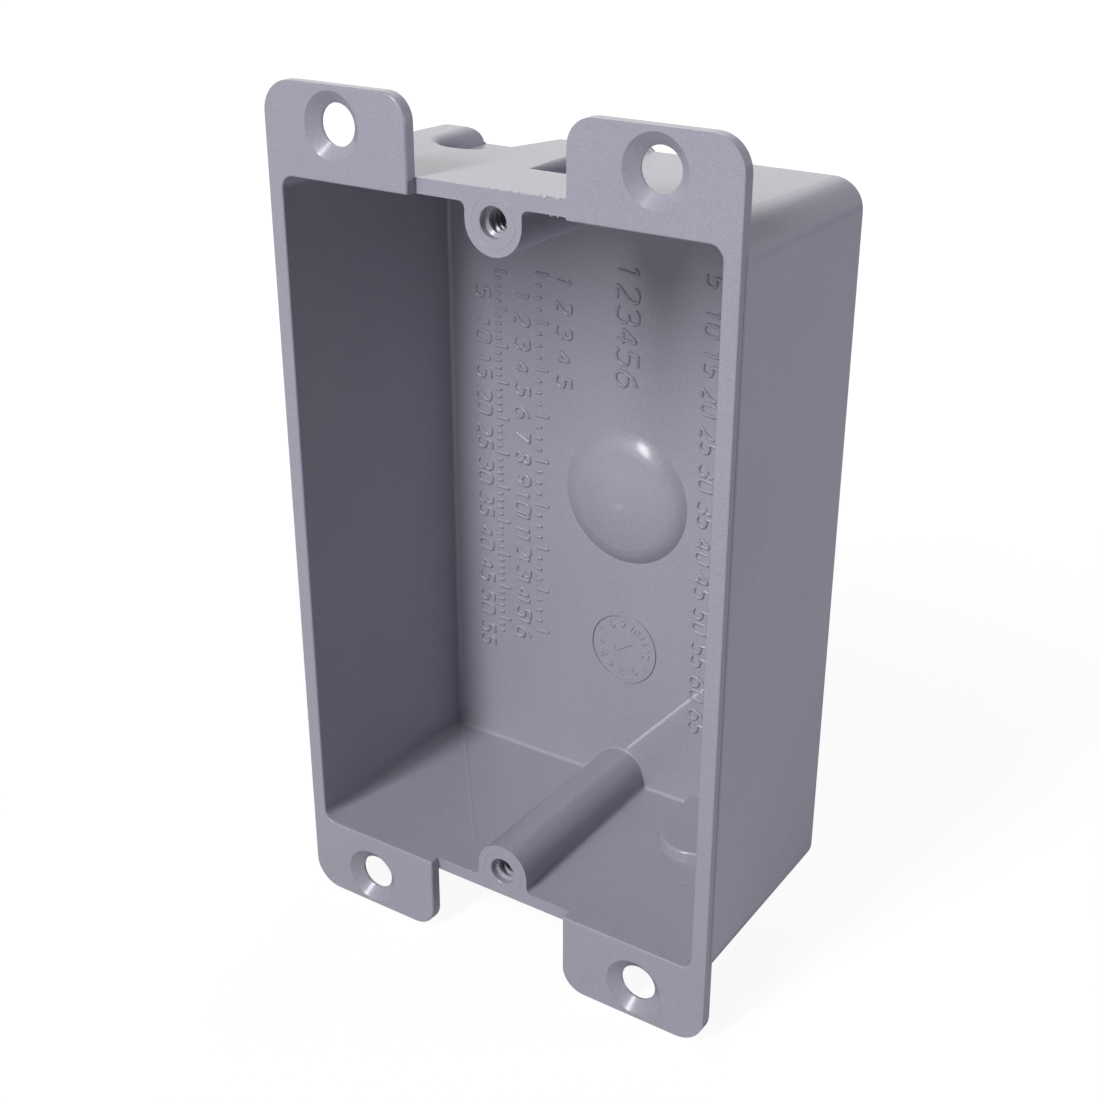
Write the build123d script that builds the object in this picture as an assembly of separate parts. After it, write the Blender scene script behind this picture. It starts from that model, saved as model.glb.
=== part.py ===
from build123d import *
import os
from math import acos, cos, degrees, radians, sin, tan

# A shallow single-gang switch box, moulded in one piece from rigid plastic.
# X runs across the box, Y goes from the front face into the box, and Z is up as installed.
# The origin is the middle of the four ear holes, on the flange's face that seats on the wall.
# While the shapes are made, depth y is counted from the front face. All sizes are millimetres.

# Device screws: everything across the height starts from their spacing
device_hole_pitch = 83.34
device_hole_to_wall = 1.88

# Mouth, walls and depth of the box
opening_width = 56.9
opening_corner_r = 1.6
end_wall = 1.725
side_wall = 1.6
back_wall = 1.75
overall_depth = 31.75
draft_deg = 1.25
body_corner_r = 4.3
entry_corner_r = 2.5
back_edge_r = 1.8
inner_back_edge_r = 0.5

# Front flange with its four ears
flange_thickness = 1.5
flange_overhang = 0.45
flange_edge_r = 0.3
mouth_edge_r = 0.25
ear_gap = 20.6
ear_corner_r = 3.8
ear_gap_corner_r = 3.1

# Countersunk holes in the ears, placed from the walls and edges near them
ear_hole_r = 2.4
ear_hole_to_wall = 4.525
ear_hole_to_end = 4.42
ear_hole_to_side = 9.87
countersink_r = 3.85
countersink_deg = 100.0

# Bosses for the device screws
boss_r = 3.73
boss_root_r = 0.8
boss_end_r = 0.25
screw_hole_r = 1.75
screw_hole_depth = 9.5
screw_mouth_r = 1.85
screw_tip_deg = 118.0

# Pocket cored out of the end wall behind each screw hole
core_width = 6.0
core_depth = 2.2
core_corner_r = 1.0
core_bank_r = 0.35
core_bank_end_r = 1.5
core_behind_screw = 1.85
core_before_back = 3.6

# Cable entries: a scoop open to the back, with a thin floor that bulges inwards
entry_r = 5.0
entry_depth = 2.3
entry_to_side = 12.55
entry_to_back = 9.05
entry_flare_deg = 3.3
entry_draft_deg = 3.0
entry_ramp = 1.5
entry_floor = 1.0

# The bulge inside each entry follows two circles, placed from the entry's centre
bulge_inner_r = 4.9
bulge_inner_x = 1.2
bulge_outer_r = 5.2
bulge_outer_x = 1.1
bulge_outer_y = 1.0
bulge_edge_r = 0.4

# Rounded banks of the scoop: radius beside the lip, at the middle and at the back
entry_bank_tip_r = 0.4
entry_bank_mid_r = 1.6
entry_bank_end_r = 2.6
entry_inner_tip_r = 0.1
entry_inner_mid_r = 0.5
entry_inner_end_r = 2.2
entry_tip_deg = 45.0
bank_steps = 4
bank_above_floor = 0.35
bank_inset = 0.3

# Gate dimple: a low dome on the inside of the back wall and a hollow outside. A shallow crown
# turns down in a rounded edge, which meets the wall at the foot angle
dome_r = 9.1
dome_edge_r = 4.6
dome_crown_deg = 14.0
dome_foot_deg = 47.0
gate_r = 1.1
gate_height = 0.9

# Raised ring on the inside of the back wall
ring_below_centre = 21.9
ring_r = 5.2
ring_width = 0.45
ring_height = 0.2

# How far a joining or cutting shape reaches past the face that it starts from, and a length
# too small to matter, which tells one face from the next and keeps a cut off a face it grazes
overlap = 0.5
tiny = 0.02

# Sizes that follow from the ones above
draft = tan(radians(draft_deg))
opening_height = device_hole_pitch + 2 * device_hole_to_wall
inner_back = overall_depth - back_wall
dome_flat_r = dome_r - dome_edge_r * (sin(radians(dome_foot_deg)) - sin(radians(dome_crown_deg)))
dome_crown_r = dome_flat_r / sin(radians(dome_crown_deg))
dome_edge_rise = dome_edge_r * (cos(radians(dome_crown_deg)) - cos(radians(dome_foot_deg)))
dome_height = dome_crown_r * (1 - cos(radians(dome_crown_deg))) + dome_edge_rise
body_width = opening_width + 2 * side_wall
body_height = opening_height + 2 * end_wall
flange_width = body_width + 2 * flange_overhang
ear_hole_x = flange_width / 2 - ear_hole_to_side
ear_hole_z = body_height / 2 + ear_hole_to_wall
ear_end_z = ear_hole_z + ear_hole_to_end
device_hole_z = device_hole_pitch / 2
entry_x = body_width / 2 - entry_to_side
entry_y = overall_depth - entry_to_back


def outer_end_z(y):
    # Height of the outer face of the end wall at depth y
    return body_height / 2 - (y - flange_thickness) * draft


def inner_end_z(y):
    # Height of the inner face of the end wall at depth y
    return opening_height / 2 - y * draft


entry_floor_z = outer_end_z(entry_y) - entry_depth


def at_depth(y):
    # Sketch plane at depth y, with its X and Y along the part's X and Z
    return Plane.XZ.offset(-y)


def back_from(sketch, y, depth, taper=0):
    # Solid that grows from a sketch at depth y towards the back
    return extrude(at_depth(y) * sketch, amount=-depth, taper=taper)


def both_ends(shape):
    # The two ends of the box are the same, turned half round about the depth axis
    return [shape, shape.rotate(Axis.Y, 180)]


def make_outer():
    # The two corners beside the cable entries are rounded less than the other two
    outline = Rectangle(body_width, body_height)
    outline = fillet([v for v in outline.vertices() if v.X * v.Y < 0], entry_corner_r)
    still_sharp = outline.vertices().sort_by_distance((0, 0, 0))[-2:]
    outline = fillet(still_sharp, body_corner_r)
    block = back_from(outline, flange_thickness, overall_depth - flange_thickness, draft_deg)
    return fillet(block.faces().sort_by(Axis.Y)[-1].edges(), back_edge_r)


def make_cavity():
    outline = RectangleRounded(opening_width, opening_height, opening_corner_r)
    block = back_from(outline, 0, inner_back, draft_deg)
    block = fillet(block.faces().sort_by(Axis.Y)[-1].edges(), inner_back_edge_r)
    return block + back_from(outline, -overlap, overlap)


def make_flange():
    # The ears at each end stand apart, and a narrow strip joins them along each side
    outline = Rectangle(flange_width, 2 * ear_end_z) - Rectangle(ear_gap, 2 * ear_end_z)
    outline = fillet([v for v in outline.vertices() if abs(v.X) > ear_gap], ear_corner_r)
    gap_tips = [v for v in outline.vertices() if abs(v.X) < ear_gap / 2 + tiny]
    plate = back_from(fillet(gap_tips, ear_gap_corner_r), 0, flange_thickness)
    return fillet(plate.faces().sort_by(Axis.Y)[0].edges(), flange_edge_r)


def make_countersinks():
    # Each ear hole is a cone from the front face, then a short straight land
    cone_depth = (countersink_r - ear_hole_r) / tan(radians(countersink_deg / 2))
    profile = Polyline(
        (0, -overlap), (countersink_r, -overlap), (countersink_r, 0), (ear_hole_r, cone_depth),
        (ear_hole_r, flange_thickness + overlap), (0, flange_thickness + overlap), close=True,
    )
    cutter = revolve(make_face(profile), Axis.Y)
    return [Pos(x, 0, z) * cutter for x in (-ear_hole_x, ear_hole_x) for z in (-ear_hole_z, ear_hole_z)]


def make_boss():
    # A round column that runs back along the end wall, with flat sides out to the wall
    depth = inner_back + back_wall / 2 - flange_thickness
    reach = (inner_end_z(inner_back) + outer_end_z(inner_back)) / 2 - device_hole_z
    half_round = ThreePointArc((-boss_r, 0), (0, -boss_r), (boss_r, 0))
    sides = Polyline((boss_r, 0), (boss_r, reach), (-boss_r, reach), (-boss_r, 0))
    return Pos(0, 0, device_hole_z) * back_from(make_face([half_round, sides]), flange_thickness, depth)


def make_boss_roots():
    # The hollow corners where the sides of a boss run into the end wall, which leans with the draft
    wall_z = inner_end_z(flange_thickness)
    length = inner_back + back_wall / 2 - flange_thickness
    run = Vector(0, length, -length * draft)
    roots = []
    for side in (-1, 1):
        hollow = JernArc((side * boss_r, wall_z - boss_root_r), (0, 1), boss_root_r, -side * 90)
        rest = Polyline(
            hollow @ 1, (side * (boss_r + boss_root_r), wall_z + overlap),
            (side * (boss_r - overlap), wall_z + overlap),
            (side * (boss_r - overlap), wall_z - boss_root_r), hollow @ 0,
        )
        section = at_depth(flange_thickness) * make_face([hollow, rest])
        roots.append(extrude(section, amount=run.length, dir=run.normalized()))
    return roots


def make_boss_collar():
    # The thin hollow corner where a boss meets the back wall
    hollow = JernArc((boss_r, inner_back - boss_end_r), (0, 1), boss_end_r, -90)
    rest = Polyline(
        hollow @ 1, (boss_r + boss_end_r, inner_back + overlap), (boss_r - overlap, inner_back + overlap),
        (boss_r - overlap, inner_back - boss_end_r), hollow @ 0,
    )
    return Pos(0, 0, device_hole_z) * revolve(make_face([hollow, rest]), Axis.Y)


def make_screw_hole():
    # Screw hole with a slightly opened mouth and a drill-point end
    start = flange_thickness
    mouth = screw_mouth_r - screw_hole_r
    tip = screw_hole_r / tan(radians(screw_tip_deg / 2))
    profile = Polyline(
        (0, start - overlap), (screw_mouth_r, start - overlap), (screw_mouth_r, start),
        (screw_hole_r, start + mouth), (screw_hole_r, start + screw_hole_depth),
        (0, start + screw_hole_depth + tip), close=True,
    )
    return Pos(0, 0, device_hole_z) * revolve(make_face(profile), Axis.Y)


def eased_corner(x, y, outward, bank_r, pocket_depth):
    # Section of what is cut away where the outer face rounds over into a pocket's wall
    plane = Plane((x, y, outer_end_z(y) + tiny), x_dir=outward, z_dir=(outward[1], -outward[0], 0))
    reach = min(bank_r, pocket_depth - bank_above_floor)
    arc = CenterArc((bank_r, -bank_r), bank_r, 90, degrees(acos(1 - reach / bank_r)))
    foot = arc @ 1
    rest = Polyline(
        foot, (-bank_inset, foot.Y), (-bank_inset, overlap), (bank_r, overlap), arc @ 0,
    )
    return plane * make_face([arc, rest])


def make_core_pocket():
    # Pocket over the boss, cut from the outside, with its long edges eased
    front = flange_thickness + screw_hole_depth + core_behind_screw
    back = inner_back - core_before_back
    outline = Pos(0, (front + back) / 2) * Rectangle(core_width, back - front)
    pocket = extrude(Pos(0, 0, outer_end_z(front) - core_depth) * outline, amount=core_depth + overlap)
    pocket = fillet(pocket.edges().filter_by(Axis.Z).sort_by(Axis.Y)[2:], core_corner_r)
    for side in (-1, 1):
        sections = [
            eased_corner(side * core_width / 2, y, (side, 0), bank_r, core_depth)
            for y, bank_r in ((front, core_bank_r), (back - core_corner_r, core_bank_end_r))
        ]
        pocket += loft(sections, ruled=True)
    return pocket


def entry_outline(radius, centre_y):
    # A half circle towards the front, and two sides that spread as they run out at the back
    flare = radians(entry_flare_deg)
    side_x = radius * cos(flare)
    side_y = centre_y - radius * sin(flare)
    end_y = overall_depth + overlap
    end_x = side_x + (end_y - side_y) * tan(flare)
    front = ThreePointArc((-side_x, side_y), (0, centre_y - radius), (side_x, side_y))
    sides = Polyline((side_x, side_y), (end_x, end_y), (-end_x, end_y), (-side_x, side_y))
    return Pos(-entry_x, 0) * make_face([front, sides])


def entry_bank(side, tip_r, mid_r, end_r):
    # The rounding along one side of the scoop, from beside its lip out to the back
    flare = radians(entry_flare_deg)
    sections = []
    for step in range(bank_steps + 1):
        share = step / bank_steps
        turn = radians(entry_tip_deg) * (1 - share) + flare * share
        x = -entry_x + side * entry_r * cos(turn)
        y = entry_y - entry_r * sin(turn)
        bank_r = tip_r + (mid_r - tip_r) * share
        sections.append(eased_corner(x, y, (side * cos(turn), -sin(turn)), bank_r, entry_depth))
    end_y = overall_depth + overlap
    x += side * (end_y - y) * tan(flare)
    sections.append(eased_corner(x, end_y, (side * cos(flare), -sin(flare)), end_r, entry_depth))
    return loft(sections, ruled=True)


def make_entry_scoop():
    # What is cut from the outside at one cable entry, with a front wall that slopes back to the floor
    top = outer_end_z(entry_y - entry_r)
    low_r = entry_r - (top - entry_floor_z) * tan(radians(entry_draft_deg))
    high = Pos(0, 0, top) * entry_outline(entry_r, entry_y)
    low = Pos(0, 0, entry_floor_z) * entry_outline(low_r, entry_y + entry_ramp)
    scoop = loft([high.face(), low.face()], ruled=True)
    scoop += extrude(Pos(0, 0, top) * entry_outline(entry_r, entry_y), amount=overlap)
    scoop += entry_bank(-1, entry_bank_tip_r, entry_bank_mid_r, entry_bank_end_r)
    scoop += entry_bank(1, entry_inner_tip_r, entry_inner_mid_r, entry_inner_end_r)
    return scoop


def make_entry_bulge():
    # The raised floor that covers the scoop on the inside, joined to the back wall
    inner = Pos(-entry_x + bulge_inner_x, entry_y) * Circle(bulge_inner_r)
    outer = Pos(-entry_x - bulge_outer_x, entry_y + bulge_outer_y) * Circle(bulge_outer_r)
    end_y = overall_depth + overlap
    spread = (end_y - entry_y) * tan(radians(entry_flare_deg))
    end_xs = (-entry_x + bulge_inner_x + bulge_inner_r + spread, -entry_x - bulge_outer_x - bulge_outer_r - spread)
    end = Line((end_xs[0], end_y), (end_xs[1], end_y))
    outline = make_hull([inner.edge(), outer.edge(), end])
    top = (inner_end_z(entry_y) + outer_end_z(entry_y)) / 2
    depth = top - entry_floor_z + entry_floor
    bulge = extrude(Pos(0, 0, top) * outline, amount=-depth, taper=entry_draft_deg)
    low_face = bulge.faces().sort_by(Axis.Z)[0]
    edges = [e for e in low_face.edges() if e.center().Y < inner_back]
    bulge = fillet(edges, bulge_edge_r)
    behind = Pos(0, inner_back + back_wall / 2 + overall_depth) * Box(body_width, 2 * overall_depth, body_height)
    return bulge - behind


def make_dimple(inset, end_y):
    # The dome's outline set back by inset, turned about the depth axis and closed at end_y
    top = inner_back - dome_height
    turn = radians(dome_crown_deg)
    crown_centre = (0, top + dome_crown_r)
    edge_x = (dome_crown_r - dome_edge_r) * sin(turn)
    edge_y = top + dome_crown_r - (dome_crown_r - dome_edge_r) * cos(turn)
    crown = CenterArc(crown_centre, dome_crown_r - inset, -90, dome_crown_deg)
    sweep = dome_foot_deg - dome_crown_deg
    edge = CenterArc((edge_x, edge_y), dome_edge_r - inset, dome_crown_deg - 90, sweep)
    last = edge @ 1
    foot_x = last.X + (end_y - last.Y) / tan(radians(dome_foot_deg))
    corner = Vector(foot_x, end_y)
    middle = Vector(0, end_y)
    lines = [Line(last, corner), Line(corner, middle), Line(middle, crown @ 0)]
    return revolve(make_face([crown, edge] + lines), Axis.Y)


def edges_where(shape, test):
    # The edges of a shape whose middle point passes a test
    return [e for e in shape.edges() if test(e, e.center())]


def soften_mouth(body):
    # The front edges of the mouth, apart from the recessed rims between the ears
    def on_mouth(edge, middle):
        inside = abs(middle.X) < body_width / 2 and abs(middle.Z) < body_height / 2
        return inside and abs(middle.Y) < tiny and edge.bounding_box().size.Y < tiny
    return fillet(edges_where(body, on_mouth), mouth_edge_r)


def make_body():
    body = soften_mouth(make_outer() + make_flange() - make_cavity())
    for boss in both_ends(make_boss()):
        body += boss
    for hollow in make_boss_roots() + [make_boss_collar()]:
        for shape in both_ends(hollow):
            body += shape
    for bulge in both_ends(make_entry_bulge()):
        body += bulge
    body += make_dimple(0, inner_back + overlap)
    ring = Circle(ring_r) - Circle(ring_r - ring_width)
    body += back_from(Pos(0, -ring_below_centre) * ring, inner_back - ring_height, ring_height + overlap)
    for cut in make_countersinks() + both_ends(make_screw_hole()):
        body -= cut
    for cut in both_ends(make_core_pocket()) + both_ends(make_entry_scoop()):
        body -= cut
    body -= make_dimple(back_wall, overall_depth + overlap)
    body += back_from(Circle(gate_r), overall_depth - dome_height - overlap / 2, gate_height + overlap / 2)
    return Pos(0, -flange_thickness, 0) * body


os.makedirs("parts", exist_ok=True)
switch_box = make_body()
print("solid", switch_box.is_valid, len(switch_box.solids()), round(switch_box.volume), "mm3")
export_step(switch_box, "parts/switch_box.step")
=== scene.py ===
import math

import bmesh
import bpy
from mathutils import Euler, Matrix, Vector


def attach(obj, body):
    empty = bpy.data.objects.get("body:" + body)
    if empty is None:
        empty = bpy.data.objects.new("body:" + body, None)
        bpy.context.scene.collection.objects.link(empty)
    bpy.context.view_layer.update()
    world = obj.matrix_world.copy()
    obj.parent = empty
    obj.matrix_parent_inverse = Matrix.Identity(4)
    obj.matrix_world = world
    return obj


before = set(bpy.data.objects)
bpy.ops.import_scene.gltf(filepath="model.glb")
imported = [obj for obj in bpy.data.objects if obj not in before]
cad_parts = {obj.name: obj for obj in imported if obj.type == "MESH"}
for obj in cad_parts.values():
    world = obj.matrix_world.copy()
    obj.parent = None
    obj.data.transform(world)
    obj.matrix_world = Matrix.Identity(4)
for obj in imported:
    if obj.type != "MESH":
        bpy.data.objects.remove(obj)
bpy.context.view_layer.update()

mm = 0.001
scene = bpy.context.scene


def linearFromHex(code):
    # sRGB hex to the linear values that shaders take
    channels = [int(code[i:i + 2], 16) / 255 for i in (1, 3, 5)]
    return tuple(c / 12.92 if c <= 0.04045 else ((c + 0.055) / 1.055) ** 2.4 for c in channels) + (1.0,)


def addNode(tree, kind, settings=None, inputs=None):
    # one node, with its settings, its fixed values and its links
    node = tree.nodes.new(kind)
    for name, value in (settings or {}).items():
        setattr(node, name, value)
    for key, value in (inputs or {}).items():
        if isinstance(value, bpy.types.NodeSocket):
            tree.links.new(value, node.inputs[key])
        else:
            node.inputs[key].default_value = value
    return node


def combine(tree, x=0.0, y=0.0, z=0.0):
    return addNode(tree, "ShaderNodeCombineXYZ", inputs={"X": x, "Y": y, "Z": z}).outputs["Vector"]


def calculate(tree, operation, *values):
    return addNode(tree, "ShaderNodeMath", {"operation": operation}, dict(enumerate(values))).outputs[0]


def flipped(tree, value):
    return calculate(tree, "MULTIPLY", value, -1.0)


def startMaterial(name):
    # an empty material and its tree of nodes
    material = bpy.data.materials.new(name)
    material.use_nodes = True
    material.node_tree.nodes.clear()
    return material, material.node_tree


# camera: at the photograph's viewing angle, from the front right and above, in mm and degrees
viewpoint = {
    "eye": (103.54, -142.691, 84.86),
    "turn": (64.3228, 0.0935, 34.2164),
    "lens": 54.812,
    "sensor": 36,
    "shift": (0.00652, 0.02369),
    "clip": (10, 20000),
}

cameraData = bpy.data.cameras.new("camera")
cameraData.sensor_width = viewpoint["sensor"]
cameraData.lens = viewpoint["lens"]
cameraData.shift_x, cameraData.shift_y = viewpoint["shift"]
cameraData.clip_start, cameraData.clip_end = (c * mm for c in viewpoint["clip"])
camera = bpy.data.objects.new("camera", cameraData)
camera.location = Vector(viewpoint["eye"]) * mm
camera.rotation_euler = Euler([math.radians(a) for a in viewpoint["turn"]], "XYZ")
scene.collection.objects.link(camera)
scene.camera = camera
scene.view_settings.view_transform = "Standard"
print("camera placed")

# rigid PVC, injection moulded: satin grey with a violet cast, the fine grain of a spark-eroded
# mould, soft clouding, and slow waves where the walls sank a little as they cooled; sizes in mm
pvc = {
    "grey": "#A6A6B1",
    "clouded": "#9E9EAA",
    "edgePaintedShade": "#94949F",     # painted shade: the outer edge band of the flange is painted darker, standing in for its shade
    "paintedShadeBand": (30.3, 30.45),  # how far out from the middle that shade begins and is full
    # patterns: the size of a blotch, the detail and its roughness; the real grain and specks are
    # about 0.1 mm and are drawn coarser, so that they show in the render
    "clouds": (14.0, 3.0, 0.55),
    "waves": (9.0, 1.0, 0.4),
    "grain": (0.32, 2.0, 0.5),
    "specks": (0.24, 1.0, 0.5),
    "noiseRange": (0.3, 0.7),   # nearly all values of a noise lie in this range
    "waveHeight": 0.02,
    "grainHeight": 0.006,
    "speckShade": 0.07,         # how far a speck lightens or darkens the grey
    "roughness": (0.44, 0.54),
    "ior": 1.53,
    "skin": 0.6,                # the smooth skin that the mould leaves on it
    "skinRoughness": 0.2,
}


def makePvc():
    material, tree = startMaterial("mouldedPvc")
    place = addNode(tree, "ShaderNodeTexCoord").outputs["Object"]
    pattern = {}
    for name in ("clouds", "waves", "grain", "specks"):
        size, detail, roughness = pvc[name]
        # a noise scale of 1 / size in metres gives blotches of about that size
        noise = addNode(tree, "ShaderNodeTexNoise", inputs={
            "Vector": place, "Scale": 1 / (size * mm), "Detail": detail, "Roughness": roughness})
        pattern[name] = noise.outputs["Fac"]
    low, high = pvc["noiseRange"]

    clouded = addNode(tree, "ShaderNodeMix", {"data_type": "RGBA"}, {
        "Factor": pattern["clouds"], 6: linearFromHex(pvc["grey"]), 7: linearFromHex(pvc["clouded"])})
    mottle = addNode(tree, "ShaderNodeMapRange", inputs={
        "Value": pattern["specks"], "From Min": low, "From Max": high,
        "To Min": 1 - pvc["speckShade"], "To Max": 1 + pvc["speckShade"]}).outputs["Result"]
    shade = addNode(tree, "ShaderNodeCombineColor", inputs={0: mottle, 1: mottle, 2: mottle})
    mottled = addNode(tree, "ShaderNodeMix", {"data_type": "RGBA", "blend_type": "MULTIPLY"}, {
        "Factor": 1.0, 6: clouded.outputs[2], 7: shade.outputs["Color"]})
    # painted shade: towards the flange's outer edge the grey gives way to a darker painted shade
    across = addNode(tree, "ShaderNodeSeparateXYZ", inputs={"Vector": place}).outputs["X"]
    edgeFrom, edgeTo = pvc["paintedShadeBand"]
    paintedShadeShare = addNode(tree, "ShaderNodeMapRange", inputs={
        "Value": calculate(tree, "ABSOLUTE", across), "From Min": edgeFrom * mm, "From Max": edgeTo * mm})
    colour = addNode(tree, "ShaderNodeMix", {"data_type": "RGBA"}, {
        "Factor": paintedShadeShare.outputs["Result"], 6: mottled.outputs[2], 7: linearFromHex(pvc["edgePaintedShade"])})

    gloss = addNode(tree, "ShaderNodeMapRange", inputs={
        "Value": pattern["grain"], "From Min": low, "From Max": high,
        "To Min": pvc["roughness"][0], "To Max": pvc["roughness"][1]})
    slow = addNode(tree, "ShaderNodeBump", inputs={
        "Height": pattern["waves"], "Strength": 1.0, "Distance": pvc["waveHeight"] * mm})
    fine = addNode(tree, "ShaderNodeBump", inputs={
        "Height": pattern["grain"], "Strength": 1.0, "Distance": pvc["grainHeight"] * mm,
        "Normal": slow.outputs["Normal"]})
    surface = addNode(tree, "ShaderNodeBsdfPrincipled", inputs={
        "Base Color": colour.outputs[2], "Roughness": gloss.outputs["Result"],
        "IOR": pvc["ior"], "Normal": fine.outputs["Normal"],
        "Coat Weight": pvc["skin"], "Coat Roughness": pvc["skinRoughness"], "Coat IOR": pvc["ior"],
        "Coat Normal": fine.outputs["Normal"]})
    addNode(tree, "ShaderNodeOutputMaterial", inputs={"Surface": surface.outputs["BSDF"]})
    return material


mouldedPvc = makePvc()
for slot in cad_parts["switch_box"].material_slots:
    slot.material = mouldedPvc
print("box finished in moulded PVC")

# pale PVC: paler in small patches; on the crumbs this is partly the real whitening of stretched or rubbed plastic
# and partly a painted glint, so that they sparkle
palePlastic = {
    "pale": "#DEDEE3",
    "patches": (0.25, 2.0, 0.6),  # size in mm, detail and its roughness
    "roughness": 0.35,
}


def makeScuffedPvc():
    material, tree = startMaterial("palePvc")
    size, detail, roughness = palePlastic["patches"]
    patches = addNode(tree, "ShaderNodeTexNoise", inputs={
        "Vector": addNode(tree, "ShaderNodeTexCoord").outputs["Object"],
        "Scale": 1 / (size * mm), "Detail": detail, "Roughness": roughness})
    # partly a painted glint: the pale patches also stand in for the sparkle of light on the crumbs
    colour = addNode(tree, "ShaderNodeMix", {"data_type": "RGBA"}, {
        "Factor": patches.outputs["Fac"], 6: linearFromHex(palePlastic["pale"]), 7: linearFromHex(pvc["grey"])})
    surface = addNode(tree, "ShaderNodeBsdfPrincipled", inputs={
        "Base Color": colour.outputs[2], "Roughness": palePlastic["roughness"], "IOR": pvc["ior"]})
    addNode(tree, "ShaderNodeOutputMaterial", inputs={"Surface": surface.outputs["BSDF"]})
    return material


palePvc = makeScuffedPvc()

# the box's own faces, in mm, where the fine detail stands on them
box = {
    "backWall": 28.5,     # the inside of the back wall
    "side": 30.5,         # the outer edge of the flange
    "mouthEnd": 43.55,    # half the mouth's height, at the front face
    "front": 1.5,         # the front face lies this far before the rims and the origin
    "draft": 1.25,        # the taper of the walls, in degrees
    "screwHoles": 41.67,  # the device screws, above and below the middle
}
slope = math.tan(math.radians(box["draft"]))

# each face by its local X, its local Y, the way out of it and its origin
faces = {
    "back": ((1, 0, 0), (0, 0, 1), (0, -1, 0), (0, box["backWall"], 0)),
    "rims": ((1, 0, 0), (0, 0, 1), (0, -1, 0), (0, 0, 0)),
    "floor": ((1, 0, 0), (0, 1, slope), (0, -slope, 1), (0, 0, box["front"] * slope - box["mouthEnd"])),
    "right": ((0, 1, 0), (0, 0, 1), (1, 0, 0), (box["side"], 0, 0)),
    "left": ((0, -1, 0), (0, 0, 1), (-1, 0, 0), (-box["side"], 0, 0)),
}


def placing(localX, localY, out, origin):
    # puts what is made flat round the origin onto a face
    columns = (localX, localY, out, [c * mm for c in origin])
    return Matrix([[column[row] for column in columns] for row in range(3)] + [[0, 0, 0, 1]])


def alongBackWall(x, z):
    # marks there read downwards, with their tops to the right
    return placing((0, 0, -1), (1, 0, 0), (0, -1, 0), (x, box["backWall"], z))


def startTree(name, sizes):
    # a Geometry Nodes tree whose inputs are the piece's sizes, in metres where they are lengths
    tree = bpy.data.node_groups.new(name, "GeometryNodeTree")
    tree.interface.new_socket("Strokes", in_out="INPUT", socket_type="NodeSocketGeometry")
    for label, value in sizes.items():
        kind = {int: "NodeSocketInt", float: "NodeSocketFloat"}.get(type(value), "NodeSocketMaterial")
        tree.interface.new_socket(label, in_out="INPUT", socket_type=kind)
    tree.interface.new_socket("Geometry", in_out="OUTPUT", socket_type="NodeSocketGeometry")
    return tree, tree.nodes.new("NodeGroupInput").outputs


def endTree(tree, geometry, material):
    real = addNode(tree, "GeometryNodeRealizeInstances", inputs={"Geometry": geometry})
    painted = addNode(tree, "GeometryNodeSetMaterial", inputs={
        "Geometry": real.outputs["Geometry"], "Material": material})
    addNode(tree, "NodeGroupOutput", inputs={"Geometry": painted.outputs["Geometry"]})


def makeMesh(name, tree, sizes, place=None, strokes=()):
    # the tree's result as a plain mesh, put in its place; strokes are chains of points in mm that it follows
    chains = bpy.data.meshes.new(name + "Host")
    points, links = [], []
    for stroke in strokes:
        links += [(len(points) + i, len(points) + i + 1) for i in range(len(stroke) - 1)]
        points += [(u * mm, v * mm, 0.0) for u, v in stroke]
    chains.from_pydata(points, links, [])
    host = bpy.data.objects.new(name + "Host", chains)
    scene.collection.objects.link(host)
    modifier = host.modifiers.new("shape", "NODES")
    modifier.node_group = tree
    for item in tree.interface.items_tree:
        if item.in_out == "INPUT" and item.name in sizes:
            modifier[item.identifier] = sizes[item.name]
    graph = bpy.context.evaluated_depsgraph_get()
    mesh = bpy.data.meshes.new_from_object(host.evaluated_get(graph))
    host.modifiers.clear()
    bpy.data.objects.remove(host)
    mesh.name = name
    if place:
        mesh.transform(place)
    return mesh


mergeDistance = 0.0005 * mm


def finishPiece(name, meshes, material, smoothUpTo):
    # several meshes as one piece that rides on the box, smooth up to so many degrees
    whole = bmesh.new()
    for mesh in meshes:
        whole.from_mesh(mesh)
    bmesh.ops.remove_doubles(whole, verts=whole.verts, dist=mergeDistance)
    bmesh.ops.recalc_face_normals(whole, faces=whole.faces)
    joined = bpy.data.meshes.new(name)
    whole.to_mesh(joined)
    whole.free()
    joined.materials.append(material)
    joined.polygons.foreach_set("material_index", [0] * len(joined.polygons))
    joined.polygons.foreach_set("use_smooth", [True] * len(joined.polygons))
    joined.set_sharp_from_angle(angle=math.radians(smoothUpTo))
    piece = bpy.data.objects.new(name, joined)
    scene.collection.objects.link(piece)
    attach(piece, "root")
    print(name, "made,", len(joined.polygons), "faces")


# screw threads: 6-32, behind a short plain mouth in each device screw hole
thread = {
    "Pitch": 0.794 * mm,
    "Turns": 9.2,
    "Mouth Depth": 0.85 * mm,  # where the threaded part begins
    "Hole Radius": 1.75 * mm,
    "Crest Radius": 1.33 * mm,
    "Root Width": 0.74 * mm,
    "Crest Width": 0.20 * mm,
    "Sunk": 0.06 * mm,         # how far the ridge's root goes into the wall
    "Taper Start": 0.05,       # the ridge's share at its very end
    "Taper Gain": 2.0,         # and what it gains in one turn
    "Hole Height": box["screwHoles"] * mm,
    "Steps": 40,
    "Material": mouldedPvc,
}


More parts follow.
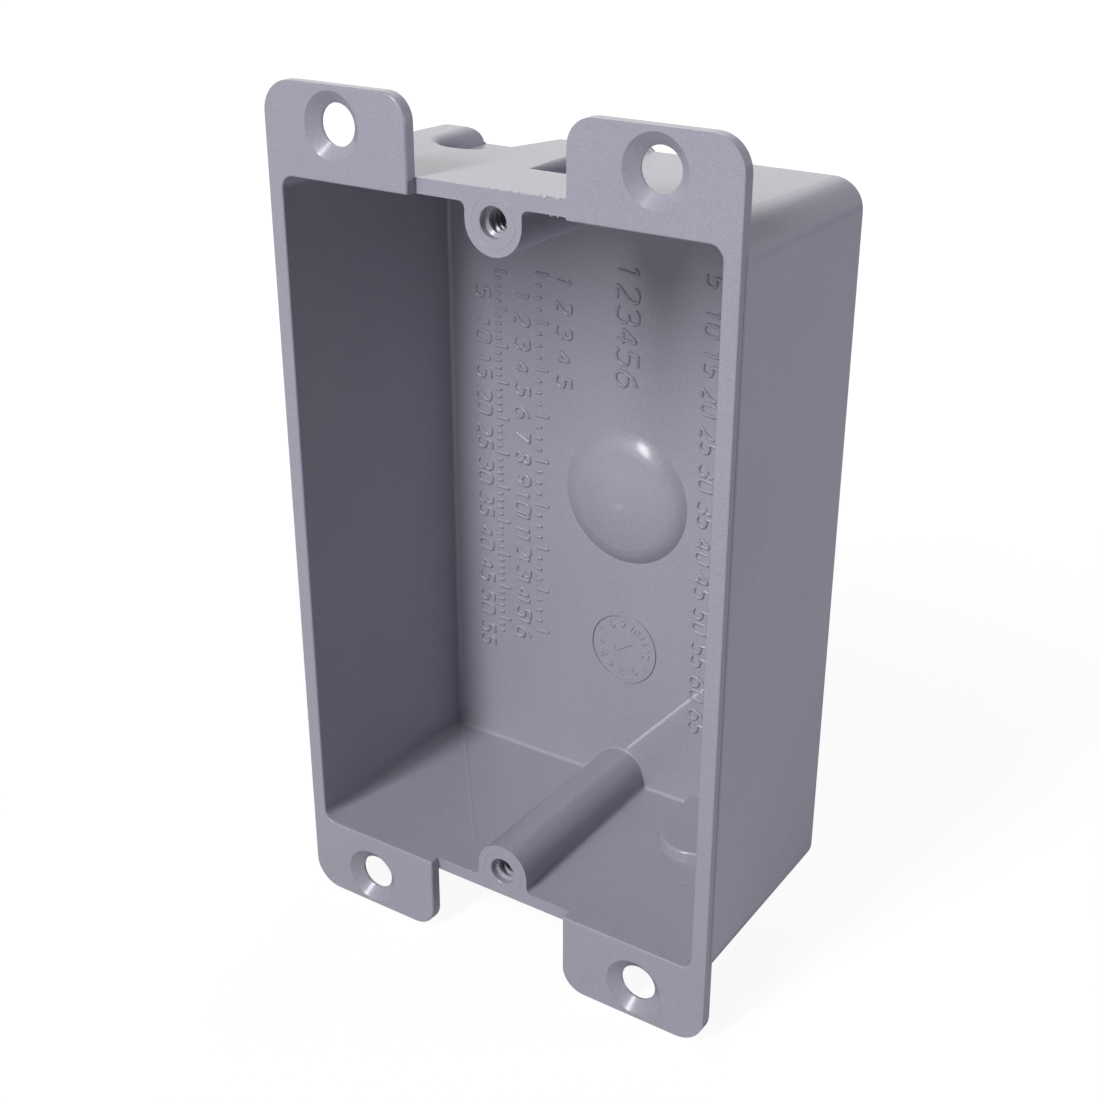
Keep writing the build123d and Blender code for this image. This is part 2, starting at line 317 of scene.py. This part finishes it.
def makeThreads():
    tree, size = startTree("threadShape", thread)
    halfRoot = calculate(tree, "MULTIPLY", size["Root Width"], 0.5)
    halfCrest = calculate(tree, "MULTIPLY", size["Crest Width"], 0.5)
    inwards = calculate(tree, "SUBTRACT", size["Crest Radius"], size["Hole Radius"])
    ridge = addNode(tree, "GeometryNodeCurvePrimitiveQuadrilateral", {"mode": "POINTS"}, {
        "Point 1": combine(tree, size["Sunk"], halfRoot),
        "Point 2": combine(tree, size["Sunk"], flipped(tree, halfRoot)),
        "Point 3": combine(tree, inwards, flipped(tree, halfCrest)),
        "Point 4": combine(tree, inwards, halfCrest)}).outputs["Curve"]

    # a right-handed helix along Z; the ridge grows out of the wall over half a turn at each end
    helix = addNode(tree, "GeometryNodeCurveSpiral", inputs={
        "Resolution": size["Steps"], "Rotations": size["Turns"], "Start Radius": size["Hole Radius"],
        "End Radius": size["Hole Radius"], "Reverse": True,
        "Height": calculate(tree, "MULTIPLY", size["Pitch"], size["Turns"])})
    along = addNode(tree, "GeometryNodeSplineParameter").outputs["Factor"]
    nearest = calculate(tree, "MINIMUM", along, calculate(tree, "SUBTRACT", 1.0, along))
    turnsIn = calculate(tree, "MULTIPLY", nearest, size["Turns"])
    grown = calculate(tree, "MULTIPLY_ADD", turnsIn, size["Taper Gain"], size["Taper Start"])
    upright = addNode(tree, "GeometryNodeSetCurveNormal", {"mode": "Z_UP"}, {"Curve": helix.outputs["Curve"]})
    wound = addNode(tree, "GeometryNodeCurveToMesh", inputs={
        "Curve": upright.outputs["Curve"], "Profile Curve": ridge,
        "Scale": calculate(tree, "MINIMUM", grown, 1.0), "Fill Caps": True})

    # the thread's front is faced off: a level ring of the same section
    circle = addNode(tree, "GeometryNodeCurvePrimitiveCircle", {"mode": "RADIUS"}, {
        "Resolution": size["Steps"], "Radius": size["Hole Radius"]})
    level = addNode(tree, "GeometryNodeSetCurveNormal", {"mode": "Z_UP"}, {"Curve": circle.outputs["Curve"]})
    ring = addNode(tree, "GeometryNodeCurveToMesh", inputs={
        "Curve": level.outputs["Curve"], "Profile Curve": ridge})

    whole = addNode(tree, "GeometryNodeJoinGeometry")
    for part in (wound, ring):
        tree.links.new(part.outputs["Mesh"], whole.inputs[0])
    inHole = addNode(tree, "GeometryNodeTransform", inputs={
        "Geometry": whole.outputs[0], "Rotation": (math.radians(-90), 0, 0),
        "Translation": combine(tree, 0.0, calculate(tree, "ADD", size["Mouth Depth"], halfRoot))})
    holes = addNode(tree, "GeometryNodeMeshLine", {"mode": "END_POINTS"}, {
        "Count": 2, "Start Location": combine(tree, z=size["Hole Height"]),
        "Offset": combine(tree, z=flipped(tree, size["Hole Height"]))})
    both = addNode(tree, "GeometryNodeInstanceOnPoints", inputs={
        "Points": holes.outputs["Mesh"], "Instance": inHole.outputs["Geometry"]})
    endTree(tree, both.outputs["Instances"], size["Material"])
    finishPiece("screwThreads", [makeMesh("screwThreads", tree, thread)], mouldedPvc, smoothUpTo=35)


makeThreads()

# raised marks: strokes as a pantograph cuts them in the mould, round-topped and round-ended
mark = {
    "Width": 0.46 * mm,
    "Raised": 0.27 * mm,
    "Corner": 0.16 * mm,
    "Corner Steps": 3,
    "Step": 0.11 * mm,
    "Around": 10,
    "Blunt End": 1.02,  # past 1, so a stroke's very end keeps a small cap
    "Material": mouldedPvc,
}


def makeMarkTree():
    tree, size = startTree("markShape", mark)
    lines = addNode(tree, "GeometryNodeMeshToCurve", inputs={"Mesh": size["Strokes"]})
    rounded = addNode(tree, "GeometryNodeFilletCurve", {"mode": "POLY"}, {
        "Curve": lines.outputs["Curve"], "Count": size["Corner Steps"], "Radius": size["Corner"],
        "Limit Radius": True})
    stepped = addNode(tree, "GeometryNodeResampleCurve", {"mode": "LENGTH"}, {
        "Curve": rounded.outputs["Curve"], "Length": size["Step"]})
    upright = addNode(tree, "GeometryNodeSetCurveNormal", {"mode": "Z_UP"}, {"Curve": stepped.outputs["Curve"]})
    circle = addNode(tree, "GeometryNodeCurvePrimitiveCircle", {"mode": "RADIUS"}, {
        "Resolution": size["Around"], "Radius": 1.0})
    half = calculate(tree, "MULTIPLY", size["Width"], 0.5)
    oval = addNode(tree, "GeometryNodeTransform", inputs={
        "Geometry": circle.outputs["Curve"], "Scale": combine(tree, half, size["Raised"], 1.0)})
    # round ends: the section shrinks along a quarter circle over the last half width
    along = addNode(tree, "GeometryNodeSplineParameter").outputs["Length"]
    whole = addNode(tree, "GeometryNodeSplineLength").outputs["Length"]
    fromEnd = calculate(tree, "MINIMUM", along, calculate(tree, "SUBTRACT", whole, along))
    share = calculate(tree, "MINIMUM", calculate(tree, "DIVIDE", fromEnd, half), 1.0)
    missing = calculate(tree, "POWER", calculate(tree, "SUBTRACT", 1.0, share), 2.0)
    endScale = calculate(tree, "SQRT", calculate(tree, "SUBTRACT", size["Blunt End"], missing))
    swept = addNode(tree, "GeometryNodeCurveToMesh", inputs={
        "Curve": upright.outputs["Curve"], "Profile Curve": oval.outputs["Geometry"],
        "Scale": endScale, "Fill Caps": True})
    endTree(tree, swept.outputs["Mesh"], size["Material"])
    return tree


markTree = makeMarkTree()

# the cutter's figures, as shares of their height
lettering = {"figureWidth": 0.6, "pitch": 0.86, "lean": 0.12}

# each figure's strokes, in a box 0.6 wide and 1 high
figures = {
    "0": [[(0.3, 0), (0.48, 0.03), (0.6, 0.2), (0.6, 0.8), (0.48, 0.97), (0.3, 1), (0.12, 0.97), (0, 0.8),
           (0, 0.2), (0.12, 0.03), (0.3, 0), (0.4, 0)]],
    "1": [[(0.1, 0.8), (0.32, 1), (0.32, 0)]],
    "2": [[(0, 0.8), (0.12, 0.97), (0.3, 1), (0.5, 0.95), (0.6, 0.75), (0.5, 0.52), (0, 0), (0.6, 0)]],
    "3": [[(0, 0.85), (0.15, 1), (0.45, 1), (0.58, 0.8), (0.55, 0.62), (0.4, 0.54), (0.22, 0.54)],
          [(0.36, 0.54), (0.6, 0.42), (0.6, 0.18), (0.45, 0), (0.15, 0), (0, 0.15)]],
    "4": [[(0.45, 0), (0.45, 1), (0, 0.3), (0.62, 0.3)]],
    "5": [[(0.56, 1), (0.08, 1), (0.04, 0.55), (0.35, 0.6), (0.56, 0.5), (0.6, 0.3), (0.5, 0.08), (0.3, 0),
           (0.1, 0.03), (0, 0.15)]],
    "6": [[(0.5, 1), (0.2, 0.8), (0.02, 0.45), (0.02, 0.2), (0.15, 0), (0.45, 0), (0.6, 0.15), (0.6, 0.4),
           (0.45, 0.55), (0.2, 0.55), (0.04, 0.38)]],
    "7": [[(0, 1), (0.6, 1), (0.22, 0)]],
    "8": [[(0.3, 0.54), (0.12, 0.6), (0.04, 0.78), (0.15, 1), (0.45, 1), (0.56, 0.78), (0.48, 0.6), (0.3, 0.54),
           (0.1, 0.46), (0, 0.25), (0.15, 0), (0.45, 0), (0.6, 0.25), (0.5, 0.46), (0.28, 0.55)]],
}
figures["9"] = [[(lettering["figureWidth"] - x, 1 - y) for x, y in stroke] for stroke in figures["6"]]


def numberStrokes(number, height, along, up=0.0, lean=lettering["lean"]):
    # one number, centred on its place along the row, leaning a little as the cutter's template does
    digits = str(number)
    pitch = lettering["pitch"] * height
    start = along - (pitch * (len(digits) - 1) + lettering["figureWidth"] * height) / 2
    return [[(start + pitch * i + height * (x + lean * y), up + height * y) for x, y in stroke]
            for i, digit in enumerate(digits) for stroke in figures[digit]]


# gauge scales on the back wall: five columns of numbers and two of ticks, in mm, z at the first mark
scaleRows = [
    {"x": -23.6, "z": 24.0, "numbers": range(5, 60, 5), "spacing": 5.0, "height": 2.3},
    {"x": -20.6, "z": 27.0, "ticks": 53, "spacing": 1.0, "longEvery": 5},
    {"x": -17.4, "z": 24.4, "numbers": range(1, 17), "spacing": 3.175, "height": 2.3},
    {"x": -14.2, "z": 27.6, "ticks": 33, "spacing": 1.5875, "longEvery": 4},
    {"x": -10.9, "z": 27.2, "numbers": range(1, 6), "spacing": 3.3, "height": 2.3},
    {"x": -1.9, "z": 30.0, "numbers": range(1, 7), "spacing": 2.75, "height": 3.2},
    {"x": 10.5, "z": 30.5, "numbers": range(5, 70, 5), "spacing": 5.0, "height": 2.3},
]
shortTick, longTick = 1.1, 2.2


def makeScales():
    rows = []
    for row in scaleRows:
        strokes = []
        for i, number in enumerate(row.get("numbers", ())):
            strokes += numberStrokes(number, row["height"], i * row["spacing"])
        for i in range(row.get("ticks", 0)):
            reach = longTick if i % row["longEvery"] == 0 else shortTick
            strokes.append([(i * row["spacing"], 0), (i * row["spacing"], reach)])
        rows.append(makeMesh("gaugeScale", markTree, mark, alongBackWall(row["x"], row["z"]), strokes))
    finishPiece("gaugeScales", rows, mouldedPvc, smoothUpTo=50)


makeScales()

# date wheel inside the raised ring: months 1 to 12 round an arrow, in mm and degrees
wheel = {
    "centre": (0, -21.9),
    "numberFoot": 3.05,
    "numberHeight": 1.0,
    "arrowTail": -1.5,
    "arrowTip": 1.7,
    "arrowHead": 0.75,
    "arrowTurn": -58,
}
fineMark = {**mark, "Width": 0.22 * mm, "Raised": 0.13 * mm, "Corner": 0.07 * mm, "Step": 0.08 * mm}


def turned(stroke, degrees):
    cos, sin = math.cos(math.radians(degrees)), math.sin(math.radians(degrees))
    return [(x * cos - y * sin, x * sin + y * cos) for x, y in stroke]


def makeDateWheel():
    strokes = []
    for month in range(1, 13):
        upright = numberStrokes(month, wheel["numberHeight"], 0, wheel["numberFoot"], lean=0.0)
        strokes += [turned(stroke, -30 * month) for stroke in upright]
    tip, head = wheel["arrowTip"], wheel["arrowHead"]
    for stroke in ([(wheel["arrowTail"], 0), (tip, 0)], [(tip - head, head), (tip, 0), (tip - head, -head)]):
        strokes.append(turned(stroke, wheel["arrowTurn"]))
    mesh = makeMesh("dateWheel", markTree, fineMark, alongBackWall(*wheel["centre"]), strokes)
    finishPiece("dateWheel", [mesh], mouldedPvc, smoothUpTo=50)


makeDateWheel()

# witness lines: thin raised lines where parts of the mould met, and a pale crease on the back wall;
# each lies on one of the box's faces, in mm, and a ring is given by its centre and radius
witness = {
    # the back crease is drawn in the pale material, a pale raised line
    "backCrease": {"on": "back", "width": 0.46, "raised": 0.06, "pale": True,
                   "points": [(1.0, -37.6), (12.0, -25.1), (22.0, -13.8)]},
    "bossRingTop": {"on": "rims", "width": 0.14, "raised": 0.035, "ring": (0, box["screwHoles"], 2.86)},
    "bossRingBottom": {"on": "rims", "width": 0.14, "raised": 0.035, "ring": (0, -box["screwHoles"], 2.86)},
    "floorLine": {"on": "floor", "width": 0.55, "raised": 0.045, "points": [(-27.0, 28.0), (-8.0, 5.0)]},
    "floorCross": {"on": "floor", "width": 0.14, "raised": 0.03, "points": [(10.0, 12.9), (27.6, 12.9)]},
    "rightEdge": {"on": "right", "width": 0.16, "raised": 0.05, "points": [(-0.45, -43.0), (-0.45, 43.0)]},
    "leftEdge": {"on": "left", "width": 0.16, "raised": 0.05, "points": [(0.45, -43.0), (0.45, 43.0)]},
}
witnessStep = 0.4
# a ring runs a little past its start, so that its two ends don't share points
ringPoints, ringStep = 49, 7.55


def makeWitnessLines():
    plain, pale = [], []
    for line in witness.values():
        if "ring" in line:
            x, z, radius = line["ring"]
            angles = [math.radians(ringStep * i) for i in range(ringPoints)]
            points = [(x + radius * math.cos(a), z + radius * math.sin(a)) for a in angles]
        else:
            points = line["points"]
        sizes = {**mark, "Width": line["width"] * mm, "Raised": line["raised"] * mm, "Step": witnessStep * mm}
        mesh = makeMesh("witnessLine", markTree, sizes, placing(*faces[line["on"]]), [points])
        (pale if line.get("pale") else plain).append(mesh)
    finishPiece("witnessLines", plain, mouldedPvc, smoothUpTo=50)
    finishPiece("paleLines", pale, palePvc, smoothUpTo=50)


makeWitnessLines()

# crumbs: specks of flash and scuffed plastic left along edges; their paleness is partly real whitening and partly
# a painted glint
crumb = {
    "Count": 8,
    "Smallest": 0.05 * mm,
    "Largest": 0.15 * mm,
    "Flattest": 0.5,        # its length along one axis, as a share of its width
    "Longest": 1.4,
    "Turn": 3.1,            # the most that it turns about each axis, in radians
    "Stray": 0.12 * mm,     # how far it stands off its run
    "Seed": 1,
    "Material": palePvc,
}
# each run of crumbs goes from one point to another, in mm
crumbRuns = [
    {"from": (6.6, 0.12, 45.27), "to": (9.6, 0.12, 45.27), "Count": 22, "Seed": 4},
    {"from": (-0.4, 0.1, 45.27), "to": (7.0, 0.1, 45.27), "Count": 9, "Seed": 15, "Largest": 0.13 * mm},
    {"from": (-6.4, 0.1, 45.27), "to": (-4.6, 0.1, 45.27), "Count": 3, "Seed": 9, "Largest": 0.08 * mm},
    {"from": (7.4, 0.05, 43.5), "to": (9.9, 0.0, 43.5), "Count": 12, "Seed": 2, "Largest": 0.11 * mm,
     "Stray": 0.1 * mm},
    {"from": (-12.0, 0.0, -43.7), "to": (-5.0, 0.0, -43.6), "Count": 3, "Seed": 12, "Largest": 0.16 * mm},
    {"from": (-24.5, -1.5, -43.8), "to": (-24.3, -1.5, -43.8), "Count": 2, "Seed": 5, "Stray": 0.0},
    {"from": (12.2, -1.5, 50.6), "to": (13.0, -1.5, 50.9), "Count": 2, "Seed": 7, "Stray": 0.0},
    {"from": (30.35, -1.4, 14.0), "to": (30.35, -1.4, -22.0), "Count": 3, "Seed": 21, "Largest": 0.08 * mm},
]


def makeCrumbs():
    ends = {end + " " + axis: 0.0 for end in ("Start", "End") for axis in "XYZ"}
    tree, size = startTree("crumbShape", {**crumb, **ends})
    run = addNode(tree, "GeometryNodeMeshLine", {"mode": "END_POINTS"}, {
        "Count": size["Count"],
        "Start Location": combine(tree, size["Start X"], size["Start Y"], size["Start Z"]),
        "Offset": combine(tree, size["End X"], size["End Y"], size["End Z"])})
    stray = size["Stray"]
    back = flipped(tree, stray)
    drift = addNode(tree, "FunctionNodeRandomValue", {"data_type": "FLOAT_VECTOR"}, {
        0: combine(tree, back, back, back), 1: combine(tree, stray, stray, stray), "Seed": size["Seed"]})
    loose = addNode(tree, "GeometryNodeSetPosition", inputs={
        "Geometry": run.outputs["Mesh"], "Offset": drift.outputs[0]})
    across = addNode(tree, "FunctionNodeRandomValue", {"data_type": "FLOAT"}, {
        2: size["Smallest"], 3: size["Largest"], "Seed": calculate(tree, "ADD", size["Seed"], 1.0)})
    squash = addNode(tree, "FunctionNodeRandomValue", {"data_type": "FLOAT"}, {
        2: size["Flattest"], 3: size["Longest"], "Seed": calculate(tree, "ADD", size["Seed"], 2.0)})
    turn = addNode(tree, "FunctionNodeRandomValue", {"data_type": "FLOAT_VECTOR"}, {
        0: (0, 0, 0), 1: combine(tree, size["Turn"], size["Turn"], size["Turn"]),
        "Seed": calculate(tree, "ADD", size["Seed"], 3.0)})
    pebble = addNode(tree, "GeometryNodeMeshIcoSphere", inputs={"Radius": 1.0, "Subdivisions": 2})
    wide = calculate(tree, "MULTIPLY", across.outputs[1], squash.outputs[1])
    scattered = addNode(tree, "GeometryNodeInstanceOnPoints", inputs={
        "Points": loose.outputs["Geometry"], "Instance": pebble.outputs["Mesh"],
        "Rotation": turn.outputs[0], "Scale": combine(tree, wide, across.outputs[1], across.outputs[1])})
    endTree(tree, scattered.outputs["Instances"], size["Material"])
    runs = []
    for changes in crumbRuns:
        sizes = {**crumb, **{k: v for k, v in changes.items() if k not in ("from", "to")}}
        for end, point in (("Start", changes["from"]), ("End", changes["to"])):
            for axis, value in zip("XYZ", point):
                sizes[end + " " + axis] = value * mm
        runs.append(makeMesh("crumbRun", tree, sizes))
    finishPiece("crumbs", runs, palePvc, smoothUpTo=30)


makeCrumbs()

# studio floor: a pale floor that shows white to the camera and keeps a faint shadow
studio = {
    "floorGrey": "#F4F4F6",
    "bounceGrey": "#D2D2D5",      # what the object gets back from it
    "floorSize": 6.0,
    "floorZ": -54.4,
    "white": 1.06,
    "shadowShare": 0.12,          # how much of the lit floor shows through its white
    "shadowReach": (0.10, 0.32),  # metres from the object, where that share begins and ends to fade
}


def makeFloor():
    half = studio["floorSize"] / 2
    z = studio["floorZ"] * mm
    mesh = bpy.data.meshes.new("floor")
    mesh.from_pydata([(-half, -half, z), (half, -half, z), (half, half, z), (-half, half, z)], [], [(0, 1, 2, 3)])
    floor = bpy.data.objects.new("floor", mesh)
    scene.collection.objects.link(floor)
    material, tree = startMaterial("paleFloor")
    path = addNode(tree, "ShaderNodeLightPath")
    lit = addNode(tree, "ShaderNodeBsdfDiffuse", inputs={"Color": linearFromHex(studio["floorGrey"])})
    bounce = addNode(tree, "ShaderNodeBsdfDiffuse", inputs={"Color": linearFromHex(studio["bounceGrey"])})
    white = addNode(tree, "ShaderNodeEmission", inputs={"Color": (1, 1, 1, 1), "Strength": studio["white"]})
    place = addNode(tree, "ShaderNodeTexCoord").outputs["Object"]
    away = addNode(tree, "ShaderNodeVectorMath", {"operation": "LENGTH"}, {0: place}).outputs["Value"]
    share = addNode(tree, "ShaderNodeMapRange", inputs={
        "Value": away, "From Min": studio["shadowReach"][0], "From Max": studio["shadowReach"][1],
        "To Min": studio["shadowShare"], "To Max": 0.0})
    seenFloor = addNode(tree, "ShaderNodeMixShader", inputs={
        0: share.outputs["Result"], 1: white.outputs["Emission"], 2: lit.outputs["BSDF"]})
    surface = addNode(tree, "ShaderNodeMixShader", inputs={
        0: path.outputs["Is Camera Ray"], 1: bounce.outputs["BSDF"], 2: seenFloor.outputs["Shader"]})
    addNode(tree, "ShaderNodeOutputMaterial", inputs={"Surface": surface.outputs["Shader"]})
    mesh.materials.append(material)


makeFloor()

# soft lamps: a tall oval key and round ones, so many degrees round from the front and above the
# floor, in metres and watts
lampDistance = 0.9
lampSize = (0.30, 0.30)
lamps = {
    "key": {"round": -9, "above": 37, "power": 7.4, "colour": "#FCF9FD", "size": (0.18, 0.65)},
    "top": {"round": 0, "above": 75, "power": 0.3, "colour": "#FFFBFF"},
    "back": {"round": 190, "above": 60, "power": 1.2, "colour": "#FFFBFB"},
    "right": {"round": 120, "above": 8, "power": 2.6, "colour": "#F9EEFF"},
}

for name, lamp in lamps.items():
    data = bpy.data.lights.new(name, "AREA")
    data.shape = "ELLIPSE"
    data.size, data.size_y = lamp.get("size", lampSize)
    data.energy = lamp["power"]
    data.color = linearFromHex(lamp["colour"])[:3]
    light = bpy.data.objects.new(name, data)
    turn, rise = math.radians(lamp["round"]), math.radians(lamp["above"])
    towards = Vector((math.sin(turn) * math.cos(rise), -math.cos(turn) * math.cos(rise), math.sin(rise)))
    light.location = lampDistance * towards
    light.rotation_euler = towards.to_track_quat("Z", "Y").to_euler()
    scene.collection.objects.link(light)

# the room: white to the camera; glossy rays meet a white backdrop behind the object and a dim room
# before it, and the backdrop ends on the right, so the rounded corner there turns dark
room = {
    "front": 0.15,
    "behind": 1.24,
    "frontToBehind": (0.0, 0.6),  # the direction's Y over which the one gives way to the other
    "rightEnd": (-0.32, 0.08),    # the direction's X over which the backdrop fades
    "pastRightEnd": 0.3,          # the share that is left there
}


def makeRoom():
    world = bpy.data.worlds.new("studio")
    scene.world = world
    world.use_nodes = True
    tree = world.node_tree
    tree.nodes.clear()
    path = addNode(tree, "ShaderNodeLightPath")
    direction = addNode(tree, "ShaderNodeSeparateXYZ", inputs={
        "Vector": addNode(tree, "ShaderNodeTexCoord").outputs["Generated"]})
    depth = addNode(tree, "ShaderNodeMapRange", {"interpolation_type": "SMOOTHSTEP"}, {
        "Value": direction.outputs["Y"], "To Min": room["front"], "To Max": room["behind"],
        "From Min": room["frontToBehind"][0], "From Max": room["frontToBehind"][1]})
    side = addNode(tree, "ShaderNodeMapRange", {"interpolation_type": "SMOOTHSTEP"}, {
        "Value": direction.outputs["X"], "To Min": 1.0, "To Max": room["pastRightEnd"],
        "From Min": room["rightEnd"][0], "From Max": room["rightEnd"][1]})
    backdrop = calculate(tree, "MULTIPLY", depth.outputs["Result"], side.outputs["Result"])
    reflected = calculate(tree, "MULTIPLY", path.outputs["Is Glossy Ray"], backdrop)
    strength = calculate(tree, "MAXIMUM", path.outputs["Is Camera Ray"], reflected)
    white = addNode(tree, "ShaderNodeBackground", inputs={"Color": (1, 1, 1, 1), "Strength": strength})
    addNode(tree, "ShaderNodeOutputWorld", inputs={"Surface": white.outputs["Background"]})


makeRoom()
print("studio lit")
